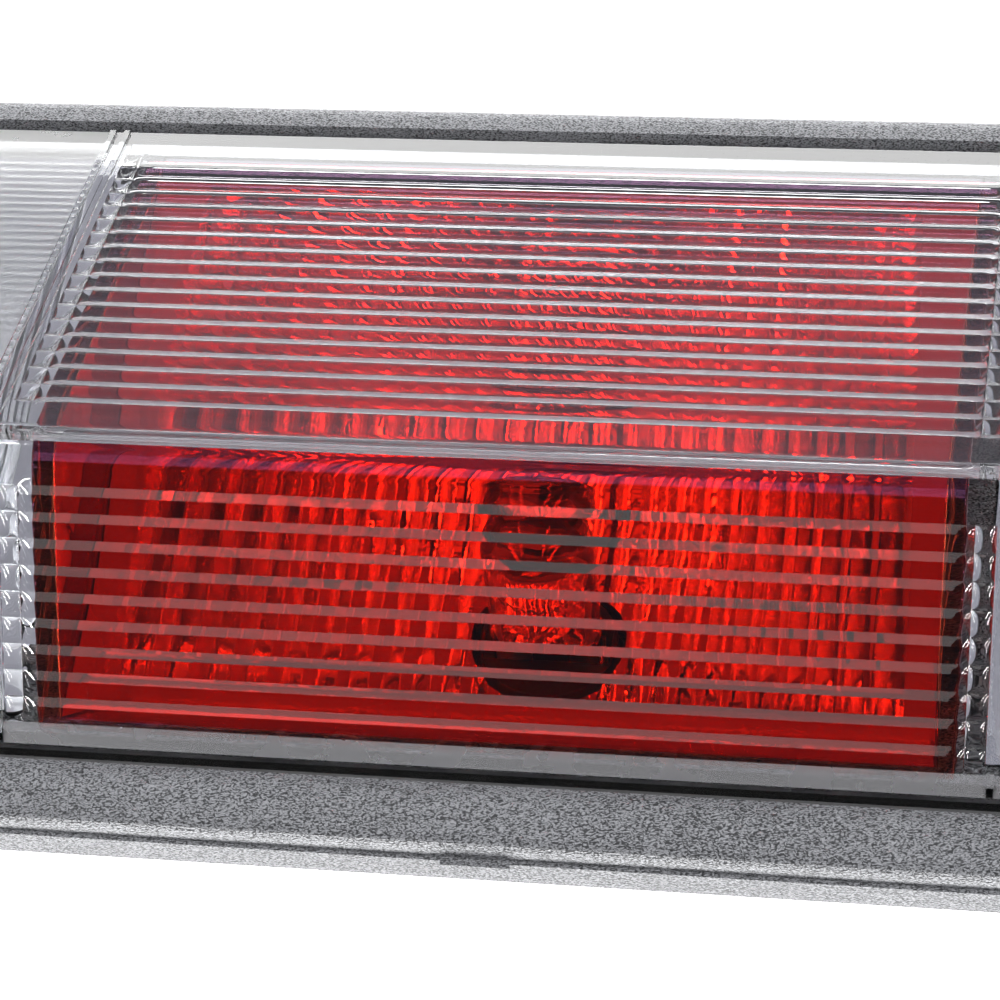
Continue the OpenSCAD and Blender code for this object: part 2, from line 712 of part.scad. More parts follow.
module stop_socket() socket(0);
module cargo_socket_left() socket(-cargo_x);
module cargo_socket_right() socket(cargo_x);
module stop_socket_seal() socket_seal(0);
module cargo_socket_seal_left() socket_seal(-cargo_x);
module cargo_socket_seal_right() socket_seal(cargo_x);
module stop_socket_contacts() contacts(0);
module cargo_socket_contacts_left() contacts(-cargo_x);
module cargo_socket_contacts_right() contacts(cargo_x);
module stop_bulb_glass() bulb_glass(0);
module cargo_bulb_glass_left() bulb_glass(-cargo_x);
module cargo_bulb_glass_right() bulb_glass(cargo_x);
module stop_bulb_filament() bulb_filament(0);
module cargo_bulb_filament_left() bulb_filament(-cargo_x);
module cargo_bulb_filament_right() bulb_filament(cargo_x);

housing();
outer_lens();
red_inner_lens();
stop_reflector();
cargo_reflector_left();
cargo_reflector_right();
lens_sealant();
mounting_gasket();
reflector_screws();
vent_caps();
stop_socket();
cargo_socket_left();
cargo_socket_right();
stop_socket_seal();
cargo_socket_seal_left();
cargo_socket_seal_right();
stop_socket_contacts();
cargo_socket_contacts_left();
cargo_socket_contacts_right();
stop_bulb_glass();
cargo_bulb_glass_left();
cargo_bulb_glass_right();
stop_bulb_filament();
cargo_bulb_filament_left();
cargo_bulb_filament_right();
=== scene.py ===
import math

import bmesh
import bpy
from mathutils import Matrix, Vector


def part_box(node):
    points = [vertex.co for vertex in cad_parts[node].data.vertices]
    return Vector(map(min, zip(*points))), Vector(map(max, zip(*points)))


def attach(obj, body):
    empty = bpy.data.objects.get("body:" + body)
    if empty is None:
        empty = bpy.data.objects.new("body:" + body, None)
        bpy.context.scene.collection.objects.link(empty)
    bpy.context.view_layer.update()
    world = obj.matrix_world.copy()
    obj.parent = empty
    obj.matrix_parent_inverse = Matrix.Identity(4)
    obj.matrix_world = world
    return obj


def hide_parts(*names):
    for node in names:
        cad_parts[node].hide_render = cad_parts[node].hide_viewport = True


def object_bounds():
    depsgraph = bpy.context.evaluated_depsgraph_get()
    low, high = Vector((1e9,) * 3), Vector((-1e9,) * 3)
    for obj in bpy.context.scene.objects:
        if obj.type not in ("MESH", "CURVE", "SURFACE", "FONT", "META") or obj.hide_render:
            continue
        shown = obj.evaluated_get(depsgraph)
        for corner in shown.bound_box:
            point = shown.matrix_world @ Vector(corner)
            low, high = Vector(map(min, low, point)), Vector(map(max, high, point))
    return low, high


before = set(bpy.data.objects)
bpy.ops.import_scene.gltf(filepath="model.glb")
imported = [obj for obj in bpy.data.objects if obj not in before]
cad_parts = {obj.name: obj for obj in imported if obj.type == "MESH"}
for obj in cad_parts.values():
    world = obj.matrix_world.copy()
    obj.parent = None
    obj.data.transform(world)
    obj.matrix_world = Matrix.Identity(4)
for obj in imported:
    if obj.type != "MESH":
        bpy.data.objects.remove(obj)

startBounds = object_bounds()
mm = 0.001
tiny = 1e-6
weldReach = 2e-6  # vertices closer than this, in metres, are one


class Signal:
    # One socket of a shader, so that shader maths reads as ordinary expressions
    def __init__(self, graph, socket):
        self.graph = graph
        self.socket = socket

    def maths(self, operation, other=0.0, swap=False):
        first, second = (other, self) if swap else (self, other)
        return self.graph.add("ShaderNodeMath", {"operation": operation}, {0: first, 1: second})

    def __add__(self, other):
        return self.maths("ADD", other)

    def __radd__(self, other):
        return self.maths("ADD", other, swap=True)

    def __sub__(self, other):
        return self.maths("SUBTRACT", other)

    def __rsub__(self, other):
        return self.maths("SUBTRACT", other, swap=True)

    def __mul__(self, other):
        return self.maths("MULTIPLY", other)

    def __rmul__(self, other):
        return self.maths("MULTIPLY", other, swap=True)

    def __truediv__(self, other):
        return self.maths("DIVIDE", other)

    def __rtruediv__(self, other):
        return self.maths("DIVIDE", other, swap=True)

    def smooth(self, low, high):
        # 0 below low, 1 above high, eased between
        settings = {"interpolation_type": "SMOOTHSTEP"}
        values = {"Value": self, "From Min": low, "From Max": high, "To Min": 0.0, "To Max": 1.0}
        return self.graph.add("ShaderNodeMapRange", settings, values)


class Graph:
    # A material under construction
    def __init__(self, name):
        self.material = bpy.data.materials.new(name)
        self.material.use_nodes = True
        self.tree = self.material.node_tree
        self.tree.nodes.clear()
        self.place = self.add("ShaderNodeTexCoord", output="Object")

    def feed(self, socket, value):
        if isinstance(value, Signal):
            self.tree.links.new(value.socket, socket)
        else:
            socket.default_value = value

    def add(self, kind, settings=None, inputs=None, output=0):
        node = self.tree.nodes.new(kind)
        for name, value in (settings or {}).items():
            setattr(node, name, value)
        for name, value in (inputs or {}).items():
            self.feed(node.inputs[name], value)
        return Signal(self, node.outputs[output]) if len(node.outputs) else node

    def noise(self, size, detail=2.0, roughness=0.5, distortion=0.0, at=None):
        # size is the width of one blob, in metres
        values = {"Vector": at or self.place, "Scale": 1 / size, "Detail": detail,
                  "Roughness": roughness, "Distortion": distortion}
        return self.add("ShaderNodeTexNoise", None, values)

    def cells(self, size, feature="F1", at=None):
        values = {"Vector": at or self.place, "Scale": 1 / size}
        return self.add("ShaderNodeTexVoronoi", {"feature": feature}, values)

    def stretch(self, scale):
        settings = {"operation": "MULTIPLY"}
        return self.add("ShaderNodeVectorMath", settings, {0: self.place, 1: scale})

    def blend(self, amount, first, second):
        # the colour sockets of the Mix node are its inputs 6 and 7 and its output 2
        return self.add("ShaderNodeMix", {"data_type": "RGBA"}, {"Factor": amount, 6: first, 7: second}, 2)

    def bump(self, height, depth):
        # depth is the relief in metres for a height of 1
        return self.add("ShaderNodeBump", None, {"Height": height, "Distance": depth, "Strength": 1.0})

    def finish(self, values):
        shader = self.add("ShaderNodeBsdfPrincipled", None, values)
        self.add("ShaderNodeOutputMaterial", None, {"Surface": shader})
        return self.material


def rgb(red, green, blue):
    return (red, green, blue, 1.0)


def makePiece(name, points, faces, material, body="lamp", sharpAngle=35):
    mesh = bpy.data.meshes.new(name)
    mesh.from_pydata([tuple(p) for p in points], [], faces)
    work = bmesh.new()
    work.from_mesh(mesh)
    bmesh.ops.remove_doubles(work, verts=work.verts, dist=weldReach)
    bmesh.ops.dissolve_degenerate(work, edges=work.edges, dist=tiny)
    bmesh.ops.recalc_face_normals(work, faces=work.faces)
    work.to_mesh(mesh)
    work.free()
    piece = bpy.data.objects.new(name, mesh)
    bpy.context.scene.collection.objects.link(piece)
    for one in material if isinstance(material, list) else [material]:
        mesh.materials.append(one)
    smoothShade(piece, sharpAngle)
    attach(piece, body)
    return piece


def smoothShade(piece, sharpAngle):
    for face in piece.data.polygons:
        face.use_smooth = True
    piece.data.set_sharp_from_angle(angle=math.radians(sharpAngle))


def applyModifiers(piece):
    graph = bpy.context.evaluated_depsgraph_get()
    mesh = bpy.data.meshes.new_from_object(piece.evaluated_get(graph))
    piece.modifiers.clear()
    piece.data = mesh


def paint(node, material):
    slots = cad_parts[node].material_slots
    if not slots:
        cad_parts[node].data.materials.append(material)
    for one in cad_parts[node].material_slots:
        one.material = material


def softenEdges(node, width):
    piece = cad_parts[node]
    weld = piece.modifiers.new("weld", "WELD")
    weld.merge_threshold = 5e-6
    edge = piece.modifiers.new("soft_edges", "BEVEL")
    edge.width = width
    edge.segments = 2
    edge.limit_method = "ANGLE"
    edge.angle_limit = math.radians(40)
    edge.harden_normals = True


grainLook = {
    "light": rgb(0.12, 0.122, 0.131),
    "dark": rgb(0.012, 0.0125, 0.014),
    "grainSize": 0.2 * mm,
    "grainDepth": 0.16 * mm,
    "roughness": 0.42,
    "shine": 0.2,
}


def grainedPlastic():
    g = Graph("grained_grey_plastic")
    wander = g.noise(0.9 * mm, detail=3.0, distortion=0.4)
    shifted = g.add("ShaderNodeVectorMath", {"operation": "ADD"},
                    {0: g.stretch((0.7, 1.0, 1.3)), 1: offset(g, wander, 0.3 * mm)})
    hide = g.cells(grainLook["grainSize"], feature="SMOOTH_F1", at=shifted)
    creases = hide.smooth(0.15, 0.75)
    fine = g.noise(0.22 * mm, detail=4.0, roughness=0.65)
    height = creases * 0.75 + fine * 0.35
    patches = g.noise(1.1 * mm, detail=3.0) * 0.25
    drift = g.noise(18 * mm) * 0.15
    tone = (creases * 0.6 + patches + drift).smooth(0.2, 0.8)
    return g.finish({
        "Base Color": g.blend(tone, grainLook["light"], grainLook["dark"]),
        "Roughness": grainLook["roughness"] + creases * 0.18,
        "Normal": g.bump(height, grainLook["grainDepth"]),
        "Specular IOR Level": grainLook["shine"],
    })


def offset(g, amount, size):
    # A vector that shifts a pattern by up to size, half as far out of the face
    across = (amount - 0.5) * size * 2
    outward = (amount - 0.5) * size
    return g.add("ShaderNodeCombineXYZ", None, {"X": across, "Y": outward, "Z": across})


clearLook = {"tint": rgb(0.97, 0.985, 1.0), "ior": 1.49, "haze": 0.015, "ripple": 0.007 * mm}


def clearAcrylic():
    g = Graph("clear_lens_acrylic")
    ripple = g.noise(7 * mm, detail=2.0, at=g.stretch((0.35, 1.0, 1.0)))
    flow = g.noise(1.3 * mm, detail=2.0)
    return g.finish({
        "Base Color": clearLook["tint"],
        "Transmission Weight": 1.0,
        "IOR": clearLook["ior"],
        "Roughness": clearLook["haze"] * g.noise(12 * mm, detail=3.0).smooth(0.35, 0.75),
        "Normal": g.bump(ripple * 0.8 + flow * 0.2, clearLook["ripple"]),
    })


frostLook = {"tint": rgb(0.95, 0.96, 0.97), "grain": 0.55 * mm, "depth": 0.02 * mm, "haze": 0.25}


def frostedAcrylic():
    g = Graph("cargo_lens_acrylic")
    sparkle = g.cells(frostLook["grain"])
    return g.finish({
        "Base Color": frostLook["tint"],
        "Transmission Weight": 1.0,
        "IOR": clearLook["ior"],
        "Roughness": frostLook["haze"] + g.noise(9 * mm, detail=3.0) * 0.08,
        "Normal": g.bump(sparkle, frostLook["depth"]),
    })


rimLook = {"tint": rgb(0.9, 0.9, 0.93), "haze": 0.22, "milk": 0.08}


def rimAcrylic():
    # The moulded edge scatters light, so it looks paler than the clear faces
    g = Graph("lens_rim_acrylic")
    cloud = g.noise(6 * mm, detail=3.0)
    return g.finish({
        "Base Color": g.blend(cloud, rimLook["tint"], rgb(0.8, 0.79, 0.84)),
        "Transmission Weight": 1.0 - rimLook["milk"],
        "IOR": clearLook["ior"],
        "Roughness": rimLook["haze"] + cloud * 0.1,
    })


redLook = {
    "tint": rgb(0.95, 0.12, 0.04),
    "deep": rgb(0.88, 0.075, 0.035),
    "sheen": rgb(1.0, 0.4, 0.95),
}


def redAcrylic():
    g = Graph("red_inner_lens_acrylic")
    ripple = g.noise(9 * mm, detail=2.0, at=g.stretch((0.4, 1.0, 1.0)))
    return g.finish({
        "Base Color": g.blend(g.noise(25 * mm, detail=2.0), redLook["tint"], redLook["deep"]),
        "Transmission Weight": 1.0,
        "IOR": clearLook["ior"],
        "Roughness": 0.01 * g.noise(15 * mm),
        "Specular Tint": redLook["sheen"],
        "Normal": g.bump(ripple, 0.03 * mm),
    })


def silverCoat():
    g = Graph("metallised_reflector")
    ripple = g.noise(5 * mm, detail=3.0, at=g.stretch((1.0, 1.0, 0.5)))
    peel = g.noise(0.9 * mm, detail=2.0)
    haze = g.noise(22 * mm, detail=4.0).smooth(0.35, 0.8)
    return g.finish({
        "Base Color": g.blend(haze, rgb(0.85, 0.85, 0.87), rgb(0.74, 0.74, 0.76)),
        "Metallic": 1.0,
        "Roughness": 0.04 + haze * 0.06,
        "Normal": g.bump(ripple * 0.8 + peel * 0.2, 0.05 * mm),
    })


def blackRubber(name, tone=0.022, texture=0.3 * mm):
    g = Graph(name)
    speckle = g.noise(texture, detail=4.0, roughness=0.7)
    dust = g.noise(6 * mm, detail=5.0, roughness=0.7).smooth(0.45, 0.85)
    return g.finish({
        "Base Color": g.blend(dust * 0.35, rgb(tone, tone, tone * 1.05), rgb(tone * 3, tone * 3, tone * 3)),
        "Roughness": 0.55 + speckle * 0.3,
        "Normal": g.bump(speckle, 0.03 * mm),
    })


def closedFoam():
    g = Graph("closed_cell_foam")
    pores = g.cells(0.7 * mm)
    fine = g.noise(0.25 * mm, detail=3.0)
    return g.finish({
        "Base Color": g.blend(pores.smooth(0.1, 0.6), rgb(0.02, 0.02, 0.022), rgb(0.075, 0.075, 0.08)),
        "Roughness": 0.9,
        "Normal": g.bump(pores * 0.8 + fine * 0.2, 0.14 * mm),
    })


def nylon():
    g = Graph("glass_filled_nylon")
    fibre = g.noise(0.35 * mm, detail=4.0, roughness=0.7, at=g.stretch((1.0, 0.25, 1.0)))
    cloud = g.noise(8 * mm, detail=3.0)
    return g.finish({
        "Base Color": g.blend(cloud, rgb(0.018, 0.018, 0.02), rgb(0.036, 0.036, 0.039)),
        "Roughness": 0.36 + fibre * 0.25,
        "Normal": g.bump(fibre, 0.02 * mm),
    })


def metal(name, light, dark, roughness, streak=(1.0, 1.0, 0.12)):
    g = Graph(name)
    lines = g.noise(0.25 * mm, detail=4.0, roughness=0.7, at=g.stretch(streak))
    stain = g.noise(2.5 * mm, detail=5.0, roughness=0.65).smooth(0.4, 0.8)
    return g.finish({
        "Base Color": g.blend(stain, light, dark),
        "Metallic": 1.0,
        "Roughness": roughness + lines * 0.15 + stain * 0.1,
        "Normal": g.bump(lines, 0.012 * mm),
    })


def bulbGlass():
    g = Graph("bulb_glass")
    seed = g.noise(3 * mm, detail=2.0)
    return g.finish({
        "Base Color": rgb(0.985, 0.99, 0.99),
        "Transmission Weight": 1.0,
        "IOR": 1.5,
        "Roughness": 0.01 * seed,
        "Normal": g.bump(seed, 0.03 * mm),
    })


print("materials")
clear = clearAcrylic()
frosted = frostedAcrylic()
rim = rimAcrylic()
red = redAcrylic()
silver = silverCoat()
rubber = blackRubber("black_rubber")
sealant = blackRubber("groove_sealant", tone=0.03, texture=0.8 * mm)
foam = closedFoam()
socketPlastic = nylon()
brass = metal("stamped_brass", rgb(0.82, 0.62, 0.28), rgb(0.55, 0.4, 0.18), 0.22)
zinc = metal("zinc_plated_steel", rgb(0.66, 0.65, 0.6), rgb(0.48, 0.46, 0.4), 0.25)
tungsten = metal("tungsten_wire", rgb(0.42, 0.41, 0.4), rgb(0.25, 0.24, 0.24), 0.35)
envelope = bulbGlass()


lensLow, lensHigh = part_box("outer_lens")
redLow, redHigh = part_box("red_inner_lens")
lens = {
    "ridgeOut": 28 * mm,
    "ridgeDrop": 25.5 * mm,
    "ridgeRadius": 2.6 * mm,
    "wall": 2.5 * mm,
    "rim": 3 * mm,
    "rimStart": 47.2 * mm,  # above this height the upper face is the moulded rim
    "lean": 14 * mm,
    "slopePitch": 3.8 * mm,
    "upperPitch": 3.2 * mm,
    "cargoPitch": 1.9 * mm,
    "smoothBand": 6.4 * mm,
    "slopeCells": 17,
    "upperCells": 9,
    "pillow": 0.52 * mm,
    "cargoPillow": 0.16 * mm,
    "stepHeight": 0.42 * mm,
    "stepSamples": (0.02, 0.06, 0.13, 0.22, 0.3, 0.333, 0.36, 0.5, 0.65, 0.78, 0.87, 0.94, 0.98, 1.0),
    "cellHeight": 0.4 * mm,
    "cellInset": 0.9 * mm,
    "cellSteps": 10,
    "endRound": 2.4 * mm,
    "endSteps": 7,
    "barHeight": 0.5 * mm,
    "barWidth": 0.8 * mm,
    "barGap": 1.2 * mm,
    "flare": 4.2 * mm,
    "redWidth": 108 * mm,
    "redWall": 2.2 * mm,
    "redInset": 3.3 * mm,
    "redRound": 4.2 * mm,
    "redLowFoot": 3.5 * mm,  # extra thickness of the red lens along its lower edge
    "barOffset": 3.5 * mm,
    "cellClear": 0.2 * mm,  # from the last side cell to the first bar
    "redSide": 2.2 * mm,
    "flareFoot": 1 * mm,
}
halfHeight = (lensHigh.z - lensLow.z) / 2
halfLength = (lensHigh.x - lensLow.x) / 2
footOut = -lensHigh.y
edgeOut = footOut + lens["rim"]
seatOut = -redHigh.y
rise = 2 * halfHeight - lens["ridgeDrop"]
ridgeUp = halfHeight - lens["ridgeDrop"]
slopeLength = math.hypot(lens["ridgeOut"], rise)
upperLength = math.hypot(lens["ridgeOut"], lens["ridgeDrop"])
slopeAlong = Vector((lens["ridgeOut"], rise)) / slopeLength
slopeNormal = Vector((slopeAlong.y, -slopeAlong.x))
upperAlong = Vector((-lens["ridgeOut"], lens["ridgeDrop"])) / upperLength
upperNormal = Vector((upperAlong.y, -upperAlong.x))
corner = Vector((edgeOut + lens["ridgeOut"], ridgeUp))
halfTurn = (math.atan2(upperNormal.y, upperNormal.x) - math.atan2(slopeNormal.y, slopeNormal.x)) / 2


def insetCorner(inset):
    # Where the two faces meet once both are moved in by inset
    bisector = (slopeNormal + upperNormal).normalized()
    return corner - bisector * inset / math.cos(halfTurn)


def ridgeArc(inset, radius, count):
    # (out, up) and normal for points round the ridge
    centre = insetCorner(inset + radius)
    first = math.atan2(slopeNormal.y, slopeNormal.x)
    arc = []
    for i in range(count + 1):
        angle = first + 2 * halfTurn * i / count
        normal = Vector((math.cos(angle), math.sin(angle)))
        arc.append((centre + normal * radius, normal))
    return arc


def lineOut(up, inset, onSlope):
    # Distance out of the sloping or upper face at one height
    if onSlope:
        start = Vector((edgeOut, -halfHeight)) - slopeNormal * inset
        return start.x + (up - start.y) * slopeAlong.x / slopeAlong.y
    start = corner - upperNormal * inset
    return start.x + (up - start.y) * upperAlong.x / upperAlong.y


def stopHalfWidth(base, up):
    # The stop section's sides are straight above the ridge and flare below it
    flare = max(0.0, (ridgeUp - up) / (ridgeUp + halfHeight + lens["flareFoot"]))
    return base + lens["flare"] * flare


def roundTop(t):
    # Height of a round-topped cell at t from 0 to 1 across it
    return math.sqrt(max(0.0, 1 - (2 * t - 1) ** 2))


def slopeHeights(s):
    # Rib heights inside the sloping face, s down the slope from the ridge
    start = lens["smoothBand"]
    t = (s - start) / lens["slopePitch"]
    if t < 0 or t > lens["slopeCells"]:
        return {}
    u = (s - start) / lens["cargoPitch"]
    return {"stop": lens["pillow"] * 4 * (t % 1) * (1 - t % 1),
            "cargo": lens["cargoPillow"] * 4 * (u % 1) * (1 - u % 1),
            "cell": lens["cellHeight"] * roundTop(t % 1)}


def upperHeights(s):
    # Stepped ribs: a steep third that looks to the ridge, then a long shallow side
    t = (s - lens["smoothBand"]) / lens["upperPitch"]
    if t < 0 or t > lens["upperCells"]:
        return {}
    t = t % 1
    third = 1 / 3
    step = lens["stepHeight"] * (t / third if t < third else (1 - t) / (1 - third))
    return {"stop": step, "cargo": step, "cell": lens["cellHeight"] * roundTop(t)}


def spread(start, end, count):
    return [start + (end - start) * i / count for i in range(count + 1)]


def outerRows():
    # Rows up the outside of the lens: point, normal and the height of each kind of rib
    arcStart = lens["ridgeRadius"] * math.tan(halfTurn)
    rows = [(corner - slopeAlong * s, slopeNormal, {}) for s in spread(slopeLength, arcStart, 12)[:-1]]
    rows += [(point, normal, {}) for point, normal in ridgeArc(0.0, lens["ridgeRadius"], 16)]
    up = spread(arcStart, lens["smoothBand"], 3)[1:]
    for k in range(lens["upperCells"]):
        for t in lens["stepSamples"]:
            up.append(lens["smoothBand"] + (k + t) * lens["upperPitch"])
    up += spread(up[-1], upperLength, 2)[1:]
    for s in up:
        rows.append((corner + upperAlong * s, upperNormal, upperHeights(s)))
    return rows


def innerRows(inset):
    # Rows up the inside of the lens, where the ribs of the sloping face stand inwards
    turn = insetCorner(inset)
    inside = halfHeight - inset
    length = (turn.y + inside) / slopeAlong.y
    start = lens["smoothBand"]
    end = start + lens["slopeCells"] * lens["slopePitch"]
    down = [length, end + 1 * mm] + spread(end, start, lens["slopeCells"] * 24) + [start - 1 * mm]
    rows = [(turn - slopeAlong * s, slopeNormal, slopeHeights(s)) for s in down]
    rows.append((turn, slopeNormal, {}))
    top = Vector((lineOut(inside, inset, False), inside))
    rows += [(turn.lerp(top, t), upperNormal, {}) for t in (0.25, 0.5, 0.75, 1.0)]
    return [(point, -normal, heights) for point, normal, heights in rows]


def endX(out, inset):
    # Half length of the leaning ends at one distance out
    lean = max(0.0, out - edgeOut) / lens["ridgeOut"] * lens["lean"]
    return halfLength - inset - lean


def columnPlan():
    # Columns from the cargo side to the middle: half width at the ridge, kind of rib, share of its height
    red = lens["redWidth"] / 2
    bars = red + lens["barOffset"]
    second = bars + lens["barWidth"] + lens["barGap"]
    plan = [(second + lens["barWidth"], "cargo", 1.0), (second + lens["barWidth"], "bar", 1.0),
            (second, "bar", 1.0), (second, "none", 1.0),
            (bars + lens["barWidth"], "none", 1.0), (bars + lens["barWidth"], "bar", 1.0),
            (bars, "bar", 1.0), (bars, "none", 1.0)]
    cellStart = red + lens["cellInset"]
    width = bars - lens["cellClear"] - cellStart
    for i in range(lens["cellSteps"] + 1):
        angle = math.pi * i / lens["cellSteps"]
        plan.append((cellStart + width * (1 + math.cos(angle)) / 2, "cell", math.sin(angle)))
    for i in range(lens["endSteps"] + 1):
        angle = math.pi / 2 * i / lens["endSteps"]
        plan.append((cellStart - lens["endRound"] * (1 - math.cos(angle)), "stop", math.sin(angle)))
    return plan


def lensSkin(rows, inset, bars):
    # Points of one skin of the outer lens as a grid of rows and columns
    grid = []
    for base, normal, heights in rows:
        atEnd = base + normal * heights.get("cargo", 0.0)
        side = [(endX(footOut, inset), footOut, base.y), (endX(edgeOut, inset), edgeOut, base.y)]
        side.append((endX(atEnd.x, inset), atEnd.x, atEnd.y))
        for edge, kind, share in columnPlan():
            height = bars if kind == "bar" else heights.get(kind, 0.0) * share
            at = base + normal * height
            side.append((stopHalfWidth(edge, base.y), at.x, max(-halfHeight, min(halfHeight, at.y))))
        line = [Vector((-x, -out, up)) for x, out, up in side]
        line += [Vector((x, -out, up)) for x, out, up in reversed(side)]
        grid.append(line)
    bottom = [Vector((p.x, -footOut, p.z)) for p in grid[0]]
    top = [Vector((p.x, -footOut, p.z)) for p in grid[-1]]
    return [bottom] + grid + [top]


def addGrid(work, grid):
    lines = [[work.verts.new(p) for p in line] for line in grid]
    for low, high in zip(lines, lines[1:]):
        for i in range(len(low) - 1):
            work.faces.new((low[i], low[i + 1], high[i + 1], high[i]))
    return lines


def stitch(work, first, second):
    # Fills the strip between two lines of vertices that may differ in number
    i, j = 0, 0
    while i < len(first) - 1 or j < len(second) - 1:
        ahead = (i + 1) / (len(first) - 1) if i < len(first) - 1 else 2.0
        behind = (j + 1) / (len(second) - 1) if j < len(second) - 1 else 2.0
        if ahead <= behind:
            work.faces.new((first[i], first[i + 1], second[j]))
            i += 1
        else:
            work.faces.new((first[i], second[j + 1], second[j]))
            j += 1


def makeShell(name, outer, inner, materials, sharpAngle):
    # A closed wall between two grids of points, joined round their rims
    work = bmesh.new()
    outside = addGrid(work, outer)
    inside = addGrid(work, inner)
    for side in (0, -1):
        stitch(work, outside[side], inside[side])
        stitch(work, [line[side] for line in outside], [line[side] for line in inside])
    bmesh.ops.remove_doubles(work, verts=work.verts, dist=weldReach)
    bmesh.ops.dissolve_degenerate(work, edges=work.edges, dist=tiny)
    bmesh.ops.recalc_face_normals(work, faces=work.faces)
    mesh = bpy.data.meshes.new(name)
    work.to_mesh(mesh)
    work.free()
    for one in materials:
        mesh.materials.append(one)
    piece = bpy.data.objects.new(name, mesh)
    bpy.context.scene.collection.objects.link(piece)
    smoothShade(piece, sharpAngle)
    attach(piece, "lamp")
    return piece


def buildOuterLens():
    outer = lensSkin(outerRows(), 0.0, lens["barHeight"])
    inner = lensSkin(innerRows(lens["wall"]), lens["wall"], 0.0)
    piece = makeShell("clear_outer_lens", outer, inner, [clear, frosted, rim], 20)
    cargoEdge = lens["redWidth"] / 2 + lens["barOffset"] + 2 * lens["barWidth"] + lens["barGap"]
    for face in piece.data.polygons:
        middle = face.center
        if abs(middle.x) > stopHalfWidth(cargoEdge, middle.z) and -middle.y > edgeOut - lens["wall"]:
            face.material_index = 1
        if middle.z > lens["rimStart"] and face.normal.y < -0.6:
            face.material_index = 2
    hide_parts("outer_lens")


print("outer lens")
buildOuterLens()


def redProfile(inset, low, high, radius):
    # (out, up) points over the red lens from its lower foot to its upper foot
    turn = insetCorner(inset)
    foot = Vector((lineOut(low, inset, True), low))
    head = Vector((lineOut(high, inset, False), high))
    points = [foot] + [foot.lerp(turn, t) for t in (0.25, 0.5, 0.75)]
    points += [point for point, _ in ridgeArc(inset, radius, 10)]
    return points + [turn.lerp(head, 0.5), head]


def redSkin(inset, side, low, high, radius):
    # Points of one skin of the red lens as a grid of rows and columns
    grid = []
    for point in redProfile(inset, low, high, radius):
        half = stopHalfWidth(side, point.y)
        out = max(point.x, seatOut)
        across = [(-half, seatOut), (-half, out), (half, out), (half, seatOut)]
        grid.append([Vector((x, -depth, point.y)) for x, depth in across])
    bottom = [Vector((p.x, -seatOut, p.z)) for p in grid[0]]
    top = [Vector((p.x, -seatOut, p.z)) for p in grid[-1]]
    return [bottom] + grid + [top]


def buildRedLens():
    side = lens["redWidth"] / 2
    wall = lens["redWall"]
    outer = redSkin(lens["redInset"], side, redLow.z, redHigh.z, lens["redRound"])
    innerLow = redLow.z + wall + lens["redLowFoot"]
    inner = redSkin(lens["redInset"] + wall, side - wall, innerLow, redHigh.z - wall,
                    lens["redRound"] - wall)
    piece = makeShell("red_lens", outer, inner, [red], 35)
    edge = piece.modifiers.new("moulded_edges", "BEVEL")
    edge.width = 0.5 * mm
    edge.segments = 3
    edge.limit_method = "ANGLE"
    edge.angle_limit = math.radians(50)
    edge.harden_normals = True
    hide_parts("red_inner_lens")


print("red lens")
buildRedLens()


bowlLook = {
    "depth": 36.5 * mm,
    "wall": 1.8 * mm,
    "side": 2 * mm,
    "lean": 8 * mm,
    "behind": 5 * mm,
    "flutePitch": 3.6 * mm,
    "fluteHeight": 0.55 * mm,
    "fluteSteps": 12,
    "holeRadius": 10.6 * mm,
    "bowlUp": 36.4 * mm,
    "shell": 1.2 * mm,
    "holeBand": 1 * mm,  # fine rows go this far past the bulb hole
    "bandRows": 44,
    "edgeRows": 6,
    "trimReach": 1 * mm,  # points this close to a rim's side edge follow the flare
    "trimGap": 0.1 * mm,
    "cargoInset": 3.4 * mm,
}


def bowlOut(x, half):
    return seatOut - bowlLook["depth"] * (1 - (x / half) ** 2)


def zSteps(up, holeRadius):
    # Heights over the back of a bowl, close together where the bulb hole is cut
    fine = holeRadius + bowlLook["holeBand"]
    edge = spread(fine, up, bowlLook["edgeRows"])[1:]
    middle = spread(-fine, fine, bowlLook["bandRows"])
    return [-z for z in reversed(edge)] + middle + edge


